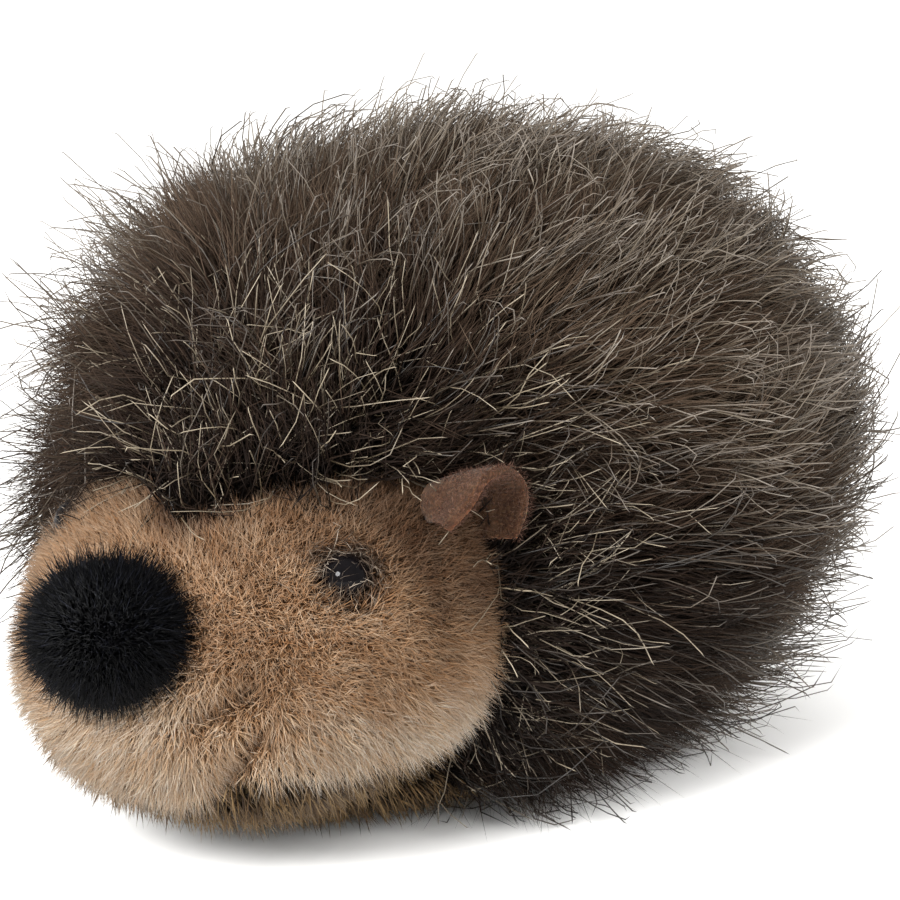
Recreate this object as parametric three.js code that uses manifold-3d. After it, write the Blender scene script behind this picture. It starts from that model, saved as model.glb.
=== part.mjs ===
// Plush toy hedgehog lying on its belly, in millimetres.
// +Z is up, the head faces -Y, and the toy is the same on both sides of X = 0.
import * as THREE from 'three';
import Module from 'manifold-3d';
import { mergeVertices } from 'three/addons/utils/BufferGeometryUtils.js';

const wasm = await Module();
wasm.setup();

// Driving dimensions. The coat's are out to the tips of its pile.
const coatHalfWidth = 56.5;
const coatHeight = 93;
const coatWidestHeight = 43;
const coatMiddleY = 9.5;
const coatRearReach = 62.5;
const coatFloorGap = 1;
const coatBelowFloor = 3;
const coatCrown = 1.95;
const browCrown = 1.62;
const rearTuck = 2;
const frontTuck = 4;

// The prow is the coat's lower front, beside the face. The hood is the fringe over the brow,
// and a taper below zero makes it swell at its corners.
const prowReach = 63;
const prowTaper = 0.48;
const hoodReach = 78;
const hoodTaper = -0.09;
const taperPower = 1.35;
const hoodHeightMiddle = 48.5;
const hoodHeightSide = 59;
const hoodDroop = 9;

// The head leans so that the chin leads, and its nose end hangs lower than its nape.
const headMiddle = new THREE.Vector3(0, -34.5, 31.4);
const headRadii = new THREE.Vector3(34, 35, 26);
const headLean = 0.2;
const headPitch = 5;
const headFullness = { along: 2.1, across: 2.3 };

const noseMiddle = new THREE.Vector3(0, -67.4, 34.7);
const noseRadii = new THREE.Vector3(11.3, 10.5, 9.7);

// The eye lies deep in the pile, which parts round it as a shallow hollow.
const eyeDiameter = 6.6;
const eyeMiddle = new THREE.Vector3(22.2, -48.5, 41.2);
const eyeFacing = new THREE.Vector3(0.6, -0.52, 0.6).normalize();
const eyeHollowRadius = 4;
const eyeHollowOut = 5.4;

// The ear is a fold of felt, open below. Its rear flap hangs lower and reaches out further.
const earMiddle = new THREE.Vector3(28.2, -33.2, 47.6);
const earHalfWidth = 5.3;
const earHeight = 5.1;
const earThickness = 1.3;
const earReach = 6.6;
const earWrapFront = 1.72;
const earWrapRear = 2.36;
const earHang = 5.8;
const earRimFront = 0.5;
const earRimRear = 0.08;
const earRimPower = 4;
const earFlare = 1.3;
const earPinch = 0.88;
const earTilt = THREE.MathUtils.degToRad(2);
const earRoomRadius = 9.1;
const earRoomDepth = 26;

const bellyHalfWidth = 26;
const bellyHalfLength = 53;
const bellyMiddleY = 1;
const bellyTop = 19;
const bellyFloorCut = 1.2;
const bellyFullness = { along: 2.3, across: 2.3 };

const jointGap = 0.3;

// Superellipse: 2 is an ellipse, more is boxier, less is more pointed.
const bend = (value, power) => Math.sign(value) * Math.abs(value) ** (2 / power);

const mix = (from, to, share) => from + (to - from) * share;

function smoothStep(from, to, value) {
  const share = THREE.MathUtils.clamp((value - from) / (to - from), 0, 1);
  return share * share * (3 - 2 * share);
}

// A closed body from rings of points, with one pole before the first ring and one after the last.
function ringBody(firstPole, rings, lastPole) {
  const sides = rings[0].length;
  const points = [firstPole, ...rings.flat(), lastPole];
  const faces = [];
  const at = (ring, side) => 1 + ring * sides + (side % sides);
  for (let side = 0; side < sides; side++) {
    faces.push(0, at(0, side + 1), at(0, side));
    for (let ring = 0; ring + 1 < rings.length; ring++) {
      faces.push(at(ring, side), at(ring, side + 1), at(ring + 1, side));
      faces.push(at(ring, side + 1), at(ring + 1, side + 1), at(ring + 1, side));
    }
    faces.push(points.length - 1, at(rings.length - 1, side), at(rings.length - 1, side + 1));
  }
  const geometry = new THREE.BufferGeometry().setFromPoints(points);
  geometry.setIndex(faces);
  return geometry;
}

function toManifold(geometry) {
  const mesh = new wasm.Mesh({
    numProp: 3,
    vertProperties: new Float32Array(geometry.attributes.position.array),
    triVerts: new Uint32Array(geometry.index.array),
  });
  return new wasm.Manifold(mesh);
}

function toGeometry(manifold) {
  const mesh = manifold.getMesh();
  const geometry = new THREE.BufferGeometry();
  geometry.setAttribute('position', new THREE.BufferAttribute(new Float32Array(mesh.vertProperties), 3));
  geometry.setIndex(new THREE.BufferAttribute(new Uint32Array(mesh.triVerts), 1));
  return mergeVertices(geometry);
}

// The pelt out to the tips of its pile: a dome whose brow overhangs the face as a hood,
// and whose lower front narrows to a prow that the face is let into. Low down, the pile
// stands on the floor in front and is tucked under behind.
function coatDome() {
  const levels = 31;
  const sides = 48;
  const rings = [];
  for (let level = 1; level < levels; level++) {
    const climb = mix(-1, 1, level / levels);
    const upper = climb > 0;
    const depth = upper ? coatHeight - coatWidestHeight : coatWidestHeight + coatBelowFloor;
    const height = coatWidestHeight + (depth * (climb + Math.sin((climb * Math.PI) / 2))) / 2;
    const ring = [];
    for (let side = 0; side < sides; side++) {
      const turn = (2 * Math.PI * side) / sides;
      const forward = Math.max(0, -Math.sin(turn));
      const frontness = smoothStep(0, 0.8, forward);
      const drop = Math.min(1, Math.abs(height - coatWidestHeight) / depth);
      const power = upper ? mix(coatCrown, browCrown, frontness) : mix(rearTuck, frontTuck, frontness);
      const spread = (1 - drop ** power) ** (1 / power);
      const hoodHeight = mix(hoodHeightSide, hoodHeightMiddle, forward ** 4);
      const hood = smoothStep(hoodHeight - hoodDroop, hoodHeight + hoodDroop, height);
      const narrow = 1 - mix(prowTaper, hoodTaper, hood) * forward ** taperPower;
      const reach = forward > 0 ? mix(prowReach, hoodReach, hood) : coatRearReach;
      ring.push(new THREE.Vector3(
        coatHalfWidth * spread * narrow * Math.cos(turn),
        coatMiddleY + reach * spread * Math.sin(turn),
        height,
      ));
    }
    rings.push(ring);
  }
  const low = new THREE.Vector3(0, coatMiddleY, -coatBelowFloor);
  const high = new THREE.Vector3(0, coatMiddleY, coatHeight);
  return toManifold(ringBody(low, rings, high)).trimByPlane([0, 0, 1], coatFloorGap);
}

// An egg with its poles on Y. More fullness makes it boxier along Y or seen from the front.
function egg(middle, radii, grow, mesh, fullness, lean = 0, pitch = 0) {
  const { slices, sides } = mesh;
  const rings = [];
  for (let slice = 1; slice < slices; slice++) {
    const angle = (Math.PI * slice) / slices;
    const spread = bend(Math.sin(angle), fullness.along);
    const along = bend(Math.cos(angle), fullness.along);
    const ring = [];
    for (let side = 0; side < sides; side++) {
      const turn = (2 * Math.PI * side) / sides;
      const rise = (radii.z + grow) * spread * bend(Math.cos(turn), fullness.across);
      ring.push(new THREE.Vector3(
        middle.x + (radii.x + grow) * spread * bend(Math.sin(turn), fullness.across),
        middle.y - (radii.y + grow) * along + lean * rise,
        middle.z - pitch * along + rise,
      ));
    }
    rings.push(ring);
  }
  const front = new THREE.Vector3(middle.x, middle.y - radii.y - grow, middle.z - pitch);
  const back = new THREE.Vector3(middle.x, middle.y + radii.y + grow, middle.z + pitch);
  return toManifold(ringBody(front, rings, back));
}

function headEgg(grow) {
  return egg(headMiddle, headRadii, grow, { slices: 20, sides: 36 }, headFullness, headLean, headPitch);
}

function noseEgg(grow) {
  return egg(noseMiddle, noseRadii, grow, { slices: 12, sides: 22 }, { along: 2, across: 2 });
}

// The underside: a shallow egg cut flat where it lies on the floor.
function bellyEgg(grow) {
  const halfHeight = (bellyTop + bellyFloorCut) / 2;
  const middle = new THREE.Vector3(0, bellyMiddleY, bellyTop - halfHeight);
  const radii = new THREE.Vector3(bellyHalfWidth, bellyHalfLength, halfHeight);
  const floor = grow > 0 ? -jointGap : 0;
  return egg(middle, radii, grow, { slices: 18, sides: 28 }, bellyFullness).trimByPlane([0, 0, 1], floor);
}

function ballAt(middle, radius, side) {
  const ball = new THREE.SphereGeometry(radius, 14, 9);
  ball.translate(side * middle.x, middle.y, middle.z);
  ball.deleteAttribute('normal');
  ball.deleteAttribute('uv');
  return toManifold(mergeVertices(ball));
}

function eyeBall(grow, side) {
  return ballAt(eyeMiddle, eyeDiameter / 2 + grow, side);
}

function eyeHollow(side) {
  return ballAt(eyeMiddle.clone().addScaledVector(eyeFacing, eyeHollowOut), eyeHollowRadius, side);
}

// A fold of felt: a half round on top, whose flaps hang straight down in front and behind.
function earFlap(side) {
  const steps = 14;
  const reaches = 6;
  const rings = [];
  for (let reach = 0; reach <= reaches; reach++) {
    const along = reach / reaches;
    const flare = mix(earPinch, earFlare, along);
    const outer = [];
    const inner = [];
    for (let step = 0; step <= steps; step++) {
      const across = mix(-1, 1, step / steps);
      const angle = across * (across < 0 ? earWrapFront : earWrapRear);
      const arc = THREE.MathUtils.clamp(angle, -Math.PI / 2, Math.PI / 2);
      const hang = earHang * Math.abs(angle - arc);
      const rim = across < 0 ? earRimFront : earRimRear;
      const out = earReach * along * (1 - rim * Math.abs(across) ** earRimPower);
      for (const [inset, line] of [[0, outer], [earThickness, inner]]) {
        const sideways = (earHalfWidth * flare - inset) * Math.sin(arc);
        const upward = (earHeight * flare - inset) * Math.cos(arc) - hang;
        line.push(new THREE.Vector3(side * out, sideways, upward));
      }
    }
    rings.push([...outer, ...inner.reverse()]);
  }
  return felt(rings, side);
}

// Closes the ear's rings with flat ends and sets the flap at the side of the head.
function felt(rings, side) {
  const sides = rings[0].length;
  const faces = [];
  const at = (ring, point) => ring * sides + (point % sides);
  for (let ring = 0; ring + 1 < rings.length; ring++) {
    for (let point = 0; point < sides; point++) {
      faces.push(at(ring, point), at(ring, point + 1), at(ring + 1, point));
      faces.push(at(ring, point + 1), at(ring + 1, point + 1), at(ring + 1, point));
    }
  }
  const last = rings.length - 1;
  for (let point = 0; point < sides / 2 - 1; point++) {
    const across = sides - 1 - point;
    faces.push(at(0, point), at(0, across), at(0, point + 1));
    faces.push(at(0, point + 1), at(0, across), at(0, across - 1));
    faces.push(at(last, point), at(last, point + 1), at(last, across));
    faces.push(at(last, point + 1), at(last, across - 1), at(last, across));
  }
  const geometry = new THREE.BufferGeometry().setFromPoints(rings.flat());
  geometry.setIndex(side < 0 ? faces : faces.reverse());
  geometry.rotateY(-side * earTilt);
  geometry.translate(side * earMiddle.x, earMiddle.y, earMiddle.z);
  return toManifold(geometry);
}

// The room that the pile leaves round an ear.
function earRoom(side) {
  const room = new THREE.CylinderGeometry(earRoomRadius, earRoomRadius, earRoomDepth, 24);
  room.rotateZ(Math.PI / 2);
  room.translate(side * (earMiddle.x - 2 + earRoomDepth / 2), earMiddle.y, earMiddle.z + 1);
  room.deleteAttribute('normal');
  room.deleteAttribute('uv');
  return toManifold(mergeVertices(room));
}

// The largest of the bodies that a cut leaves, without the crumbs.
function largest(manifold) {
  return manifold.decompose().sort((one, other) => other.volume() - one.volume())[0];
}

const finishes = {
  pelt: { color: 0x4a4038, roughness: 0.95, metalness: 0 },
  face: { color: 0x9a7c5c, roughness: 0.95, metalness: 0 },
  nose: { color: 0x0d0d10, roughness: 0.9, metalness: 0 },
  underside: { color: 0x473624, roughness: 0.95, metalness: 0 },
  felt: { color: 0x5f4538, roughness: 1, metalness: 0 },
  bead: { color: 0x08070a, roughness: 0.12, metalness: 0 },
};

const hedgehog = new THREE.Group();

function addPart(name, manifold, finish) {
  const mesh = new THREE.Mesh(toGeometry(manifold), new THREE.MeshStandardMaterial(finishes[finish]));
  mesh.name = name;
  hedgehog.add(mesh);
}

const eyeSockets = eyeBall(jointGap, 1).add(eyeBall(jointGap, -1));
const eyeHollows = eyeHollow(1).add(eyeHollow(-1));
const earRooms = earRoom(1).add(earRoom(-1));

const pelt = coatDome().subtract(headEgg(jointGap)).subtract(bellyEgg(jointGap)).subtract(earRooms);

addPart('trunk', largest(pelt), 'pelt');
addPart('head', headEgg(0).subtract(noseEgg(jointGap)).subtract(eyeSockets).subtract(eyeHollows), 'face');
addPart('belly', bellyEgg(0).subtract(headEgg(jointGap)), 'underside');
addPart('nose', noseEgg(0), 'nose');
for (const [name, side] of [['left', 1], ['right', -1]]) {
  addPart(`eye_${name}`, eyeBall(0, side), 'bead');
  addPart(`ear_${name}`, earFlap(side).subtract(headEgg(jointGap)), 'felt');
}

// The origin is the middle of the toy's outline on the floor.
const outline = new THREE.Box3().setFromObject(hedgehog);
hedgehog.position.y = -(outline.min.y + outline.max.y) / 2;

export default hedgehog;
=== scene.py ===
# Plush toy hedgehog lying on its belly: its stuffed skin, pile, nose, eyes and felt ears, in metres.
import bpy
import numpy as np
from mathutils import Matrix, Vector
from numpy.linalg import norm


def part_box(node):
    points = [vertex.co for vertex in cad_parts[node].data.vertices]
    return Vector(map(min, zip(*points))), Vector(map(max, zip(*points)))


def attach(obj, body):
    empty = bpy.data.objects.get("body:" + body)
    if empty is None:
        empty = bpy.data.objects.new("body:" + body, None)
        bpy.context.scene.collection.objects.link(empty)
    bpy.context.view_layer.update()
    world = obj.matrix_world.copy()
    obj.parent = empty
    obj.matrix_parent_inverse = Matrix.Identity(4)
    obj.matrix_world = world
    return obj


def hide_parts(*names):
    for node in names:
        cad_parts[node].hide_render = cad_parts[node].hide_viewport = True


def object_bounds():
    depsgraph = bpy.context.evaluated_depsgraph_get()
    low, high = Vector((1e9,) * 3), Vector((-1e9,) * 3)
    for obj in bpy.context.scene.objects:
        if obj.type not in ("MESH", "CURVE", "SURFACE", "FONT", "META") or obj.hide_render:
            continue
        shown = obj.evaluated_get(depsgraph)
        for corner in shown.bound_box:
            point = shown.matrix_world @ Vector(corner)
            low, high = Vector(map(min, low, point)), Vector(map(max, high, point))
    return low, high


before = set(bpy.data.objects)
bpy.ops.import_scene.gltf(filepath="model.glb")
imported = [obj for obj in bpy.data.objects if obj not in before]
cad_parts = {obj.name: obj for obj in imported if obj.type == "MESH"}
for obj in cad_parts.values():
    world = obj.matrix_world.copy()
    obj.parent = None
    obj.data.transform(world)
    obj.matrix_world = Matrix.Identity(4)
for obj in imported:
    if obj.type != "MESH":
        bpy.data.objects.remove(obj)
cadLow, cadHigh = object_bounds()


# small tools

def mix(start, end, share):
    return start + (end - start) * share


def ease(start, end, value):
    # 0 before the start, 1 past the end, and a smooth climb between
    share = np.clip((value - start) / (end - start), 0, 1)
    return share * share * (3 - 2 * share)


def bend(value, power):
    # superellipse: 2 is an ellipse, more is boxier
    return np.sign(value) * np.abs(value) ** (2 / power)


def unit(vectors):
    return vectors / np.maximum(norm(vectors, axis=-1, keepdims=True), 1e-12)


def softNoise(points, size, seed):
    # three-way noise: seven sine waves of about that size, each in a random direction
    dice = np.random.default_rng(seed)
    total = np.zeros_like(points)
    for wave in range(7):
        heading = unit(dice.normal(size=3)) * 2 * np.pi / (size * dice.uniform(0.7, 1.6))
        total += np.sin(points @ heading + dice.uniform(0, 2 * np.pi))[..., None] * dice.normal(size=3)
    return total / 3.2


def linear(colour):
    # an sRGB hex colour as linear RGBA
    parts = np.array([int(colour[place:place + 2], 16) / 255 for place in (1, 3, 5)])
    values = np.where(parts <= 0.04045, parts / 12.92, ((parts + 0.055) / 1.055) ** 2.4)
    return (*values.tolist(), 1.0)


def addNode(tree, kind, settings=None, **options):
    # settings fill the inputs, by name or number, with a value, a hex colour or another node's output
    node = tree.nodes.new("ShaderNode" + kind)
    stops = options.pop("stops", {})
    for name, value in options.items():
        setattr(node, name, value)
    for name, value in (settings or {}).items():
        socket = node.inputs[name]
        if isinstance(value, bpy.types.NodeSocket):
            tree.links.new(value, socket)
        else:
            socket.default_value = linear(value) if isinstance(value, str) else value
    for number, (place, colour) in enumerate(stops.items()):
        ramp = node.color_ramp.elements
        stop = ramp[number] if number < 2 else ramp.new(place)
        stop.position = place
        stop.color = linear(colour)
    return node


def newMaterial(name):
    material = bpy.data.materials.new(name)
    material.use_nodes = True
    material.node_tree.nodes.clear()
    return material, material.node_tree


def surfaceGrain(tree, grainMm, detail):
    # the grain of cloth, felt, paper or a scuffed gloss, on Object coordinates, with one grain about
    # that many millimetres across
    place = addNode(tree, "TexCoord")
    settings = {"Vector": place.outputs["Object"], "Scale": 1000 / grainMm, "Detail": detail}
    return addNode(tree, "TexNoise", settings).outputs["Fac"]


def meshPiece(name, points, triangles, material=None):
    # a mesh object at the origin, with smooth faces
    mesh = bpy.data.meshes.new(name)
    mesh.vertices.add(len(points))
    mesh.vertices.foreach_set("co", points.astype(np.float32).ravel())
    mesh.loops.add(triangles.size)
    mesh.loops.foreach_set("vertex_index", triangles.astype(np.int32).ravel())
    mesh.polygons.add(len(triangles))
    mesh.polygons.foreach_set("loop_start", np.arange(0, triangles.size, 3, dtype=np.int32))
    mesh.update(calc_edges=True)
    mesh.validate()
    if material:
        mesh.materials.append(material)
    piece = bpy.data.objects.new(name, mesh)
    bpy.context.scene.collection.objects.link(piece)
    return piece


def addValues(piece, name, values):
    layer = piece.data.attributes.new(name, "FLOAT", "POINT")
    layer.data.foreach_set("value", np.asarray(values, np.float32).ravel())


# the toy's form, from the frame

trunkHigh = np.array(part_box("trunk")[1])
headLow, headHigh = np.array(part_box("head"))
noseLow, noseHigh = np.array(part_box("nose"))
bellyLow, bellyHigh = np.array(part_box("belly"))
eyeLow, eyeHigh = np.array(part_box("eye_left"))
earLow, earHigh = np.array(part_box("ear_left"))

coatForm = {
    "depth": 0.0150,  # from the skin to the tips of the back coat
    "rearReach": 0.0625, "prowReach": 0.063, "hoodReach": 0.078, "widestHeight": 0.043,
    "belowFloor": 0.003, "crown": 1.95, "browCrown": 1.62, "rearTuck": 2.0, "frontTuck": 4.0,
    "prowTaper": 0.48, "hoodTaper": -0.09, "taperPower": 1.35, "hoodHeightMiddle": 0.0485,
    "hoodHeightSide": 0.059, "hoodDroop": 0.009,
}
coatMiddleY = trunkHigh[1] - coatForm["rearReach"]

headForm = {
    "depth": 0.0036,  # from the skin to the tips of the face's pile
    "forward": 0.044,  # from the middle of the coat
    "radii": (0.034, 0.035, 0.026), "lean": 0.2, "pitch": 0.005, "fullAlong": 2.1,
    "fullAcross": 2.3,
}
headMiddle = np.array([0, coatMiddleY - headForm["forward"], (headLow[2] + headHigh[2]) / 2])
headRadii = np.array(headForm["radii"])

noseMiddle = (noseLow + noseHigh) / 2
noseRadii = (noseHigh - noseLow) / 2
eyeMiddle = (eyeLow + eyeHigh) / 2
eyeRadius = (eyeHigh[2] - eyeLow[2]) / 2


def roundGrid(shape, levels, sides):
    # a closed surface: rings at shape(level, turn) for level 0..1, whose first and last rings are points
    level, turn = np.meshgrid(np.linspace(0, 1, levels + 1)[1:-1],
                              2 * np.pi * np.arange(sides) / sides, indexing="ij")
    rings = shape(level, turn).reshape(-1, 3)
    poles = shape(np.array([0.0, 1.0]), np.array([0.0, 0.0]))
    points = np.concatenate([poles[:1], rings, poles[1:]])
    ring, side = np.meshgrid(np.arange(levels - 2), np.arange(sides), indexing="ij")
    a = 1 + ring * sides + side
    b = 1 + ring * sides + (side + 1) % sides
    faces = np.concatenate([
        np.stack([a, b, b + sides], -1).reshape(-1, 3),
        np.stack([a, b + sides, a + sides], -1).reshape(-1, 3)])
    first = 1 + np.arange(sides)
    last = first + (levels - 2) * sides
    caps = np.concatenate([
        np.stack([np.zeros(sides, int), np.roll(first, -1), first], -1),
        np.stack([np.full(sides, len(points) - 1), last, np.roll(last, -1)], -1)])
    return points, np.concatenate([faces, caps])


def coatOutline(z, turn, inset):
    # half width, reach and roundness of the coat's dome at a height, seen from its middle: the front
    # narrows to a prow low down and widens to a hood over the brow
    form = coatForm
    forward = np.maximum(0, -np.sin(turn))
    frontness = ease(0, 0.8, forward)
    upper = z > form["widestHeight"]
    power = np.where(upper, mix(form["crown"], form["browCrown"], frontness),
                     mix(form["rearTuck"], form["frontTuck"], frontness))
    hoodHeight = mix(form["hoodHeightSide"], form["hoodHeightMiddle"], forward ** 4)
    hood = ease(hoodHeight - form["hoodDroop"], hoodHeight + form["hoodDroop"], z)
    narrow = 1 - mix(form["prowTaper"], form["hoodTaper"], hood) * forward ** form["taperPower"]
    reach = np.where(forward > 0, mix(form["prowReach"], form["hoodReach"], hood), form["rearReach"])
    return (trunkHigh[0] - inset) * narrow, reach - inset, power


def coatCore(level, turn):
    # the coat's dome drawn in by the coat's depth: a superellipse that rises from floor to crown
    middle = coatForm["widestHeight"]
    climb = 2 * level - 1
    low, high = coatForm["depth"] - coatForm["belowFloor"], trunkHigh[2] - coatForm["depth"]
    rise = np.where(climb > 0, high - middle, middle - low)
    z = middle + rise * (climb + np.sin(climb * np.pi / 2)) / 2
    width, reach, power = coatOutline(z, turn, coatForm["depth"])
    drop = np.clip(np.abs(z - middle) / rise, 0, 1)
    spread = np.maximum(0, 1 - drop ** power) ** (1 / power)
    return np.stack([width * spread * np.cos(turn), coatMiddleY + reach * spread * np.sin(turn), z], -1)


def coatLevel(points):
    # how far out a point is in the coat's dome: 0 in its middle, 1 at the tips of the coat
    x, y, z = points[..., 0], points[..., 1] - coatMiddleY, points[..., 2]
    turn = np.arctan2(y, x)
    for again in range(4):
        width, reach, power = coatOutline(z, turn, 0.0)
        turn = np.arctan2(y / reach, x / width)
    height = np.where(z > coatForm["widestHeight"], trunkHigh[2] - coatForm["widestHeight"],
                      coatForm["widestHeight"] + coatForm["belowFloor"])
    drop = np.abs(z - coatForm["widestHeight"]) / height
    across = np.hypot(x / width, y / reach)
    return (across ** power + drop ** power) ** (1 / power)


def egg(middle, radii, fullAlong, fullAcross, lean=0.0, pitch=0.0):
    # an egg with its poles on Y, as a function of level and turn
    def shape(level, turn):
        spread = bend(np.sin(np.pi * level), fullAlong)
        along = bend(np.cos(np.pi * level), fullAlong)
        rise = radii[2] * spread * bend(np.cos(turn), fullAcross)
        x = middle[0] + radii[0] * spread * bend(np.sin(turn), fullAcross)
        y = middle[1] - radii[1] * along + lean * rise
        return np.stack([x, y, middle[2] - pitch * along + rise], -1)
    return shape


def headLevel(points, grow):
    # how far out a point is on the head's egg: 1 on its surface, and the point moved out onto it
    radii = headRadii + grow
    x = points[..., 0] - headMiddle[0]
    rise = points[..., 2] - headMiddle[2]
    for turn in range(3):
        along = -(points[..., 1] - headMiddle[1] - headForm["lean"] * rise) / radii[1]
        rise = points[..., 2] - headMiddle[2] + headForm["pitch"] * along
    across, lengthwise = headForm["fullAcross"], headForm["fullAlong"]
    spread = (np.abs(x / radii[0]) ** across + np.abs(rise / radii[2]) ** across) ** (1 / across)
    level = (np.abs(along) ** lengthwise + spread ** lengthwise) ** (1 / lengthwise)
    scale = 1 / np.maximum(level, 1e-6)
    moved = np.stack([
        headMiddle[0] + x * scale,
        headMiddle[1] - along * scale * radii[1] + headForm["lean"] * rise * scale,
        headMiddle[2] - headForm["pitch"] * along * scale + rise * scale], -1)
    return level, moved


# where the face, the underside and the back coat meet

seam = {
    "browY": -0.0500,  # the hairline over the middle of the brow
    "cheekY": -0.0270,  # and where it comes down behind the cheek
    "turnDown": np.radians(52),
    "undersideZ": 0.0194,
    "chinDrop": 0.0080,
}

mouth = {
    # the drawn-in stitches of the smile on the left cheek, as places from the head's middle
    "stitches": [[(0.0134, -0.0330, -0.0070), (0.0182, -0.0292, -0.0034)],
                 [(0.0196, -0.0291, -0.0088), (0.0158, -0.0311, -0.0160)]],
    "width": 0.0024,
    "depth": 0.0016,
}


def behindSeam(points):
    # distance behind the pelt's seam, negative on the face
    around = np.arctan2(np.abs(points[..., 0]), points[..., 2] - headMiddle[2])
    share = np.clip(around / seam["turnDown"], 0, 1) ** 2
    return points[..., 1] - mix(seam["browY"], seam["cheekY"], share)


def belowSeam(points):
    # distance below the seam of the underside, negative above it
    chin = ease(-0.055, -0.066, points[..., 1])
    return seam["undersideZ"] - seam["chinDrop"] * chin - points[..., 2]


def nearMouth(points):
    # 1 in the stitches of the mouth, 0 away from them, measured on the head's own egg
    place = headLevel(points, 0.0)[1]
    place[..., 0] = np.abs(place[..., 0])
    nearest = np.full(points.shape[:-1], 1.0)
    for stitch in mouth["stitches"]:
        start, end = headLevel(headMiddle + np.array(stitch), 0.0)[1]
        run = end - start
        share = np.clip(((place - start) @ run) / (run @ run), 0, 1)
        nearest = np.minimum(nearest, norm(place - start - share[..., None] * run, axis=-1))
    return np.exp(-(nearest / mouth["width"]) ** 2)


def eyeDistance(points):
    # distance to the middle of the nearer eye
    folded = np.concatenate([np.abs(points[..., :1]), points[..., 1:]], axis=-1)
    return norm(folded - eyeMiddle, axis=-1)


def nearerEye(points):
    # the middle of the eye on each point's own side
    return eyeMiddle * np.stack([np.sign(points[:, 0]), np.ones(len(points)), np.ones(len(points))], -1)


def faceShade(points):
    # 0 is the dark of the brow, 1 the pale of the jowl and muzzle: the pale jowl, muzzle and mottle are
    # the pile's own colour; the darker brow, nape and hairline are partly its own brown and partly
    # painted shade under the coat and ear; the dark ring round each eye is painted shade
    height = points[..., 2]
    ahead = ease(-0.055, -0.064, points[..., 1])
    pale = ease(0.031, 0.021, height - 0.006 * ahead)
    # painted shade: the pile darkens towards the hairline, under the hanging coat
    edge = ease(-0.0055, 0.0005, behindSeam(points)) * ease(0.034, 0.042, height)
    # the brow and nape: partly the pile's own darker brown, partly painted shade under the coat's hood
    # and the ear
    brow = ease(0.037, 0.050, height)
    nape = ease(-0.047, -0.034, points[..., 1]) * ease(0.028, 0.038, height)
    mottle = softNoise(points, 0.011, 5)[..., 0] * 0.08 + softNoise(points, 0.004, 6)[..., 0] * 0.05
    snout = ease(-0.052, -0.062, points[..., 1]) * ease(0.052, 0.040, height)
    shade = 0.48 + 0.46 * pale - 0.22 * brow - 0.30 * nape - 0.05 * snout - 0.26 * edge + mottle
    # painted shade: a dark ring round each eye, as in the shade of its socket
    socket = ease(1.6, 1.15, eyeDistance(points) / eyeRadius)
    return np.clip(np.clip(shade, 0.14, 1) - 0.58 * nearMouth(points) - 0.60 * socket, 0, 1)


def coatShade(points):
    # 0 round the face and low in front, 1 on the back and rump: the coat is darker towards the face and
    # towards the bottom, and paler higher up and further back
    lowest = mix(0.12, 0.78, ease(0.018, 0.062, behindSeam(points)))
    height = mix(lowest, 1.0, ease(0.018, 0.056, points[..., 2]))
    flank = ease(0.012, 0.034, np.abs(points[..., 0])) * ease(0.042, 0.056, points[..., 2])
    behind = ease(0.005, 1.0, behindSeam(points) / mix(0.052, 0.021, flank))
    return np.clip(height * behind + softNoise(points, 0.016, 7)[..., 0] * 0.14, 0, 1)


print("form and markings ready")


# the stuffed body's skin

skinForm = {
    "voxel": 0.0012, "smoothing": 6,
    "belly": 0.0034,  # depth of the underside's pile
    "bellyHeight": 0.0089, "bellyRadius": 0.0101, "bellyFull": 2.3,
}


def plushBackingMaterial():
    # knitted plush backing seen between the roots: matt, dark under the back coat, tan under the face
    material, tree = newMaterial("knittedPlushBacking")
    zone = addNode(tree, "Attribute", attribute_name="zone").outputs["Fac"]
    shade = addNode(tree, "Attribute", attribute_name="shade").outputs["Fac"]
    grain = surfaceGrain(tree, 0.9, 3)
    tan = {0.0: "#7a5230", 1.0: "#dcb280", 0.5: "#c28c56"}
    dark = {0.0: "#33261d", 0.5: "#3a2d16", 0.25: "#33261d"}
    face = addNode(tree, "ValToRGB", {"Fac": shade}, stops=tan).outputs[0]
    coat = addNode(tree, "ValToRGB", {"Fac": zone}, stops=dark).outputs[0]
    onFace = addNode(tree, "Math", {0: zone, 1: 0.75}, operation="GREATER_THAN").outputs[0]
    both = addNode(tree, "Mix", {0: onFace, 6: coat, 7: face}, data_type="RGBA").outputs[2]
    knit = addNode(tree, "Mix", {0: grain, 6: "#8a8078", 7: "#ffffff"}, data_type="RGBA").outputs[2]
    colour = addNode(tree, "Mix", {0: 0.7, 6: both, 7: knit}, data_type="RGBA", blend_type="MULTIPLY")
    bump = addNode(tree, "Bump", {"Height": grain, "Distance": 0.0008, "Strength": 0.8})
    surface = addNode(tree, "BsdfPrincipled", {
        "Base Color": colour.outputs[2], "Roughness": 0.95, "Specular IOR Level": 0.2,
        "Normal": bump.outputs[0]})
    addNode(tree, "OutputMaterial", {"Surface": surface.outputs[0]})
    return material


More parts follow.
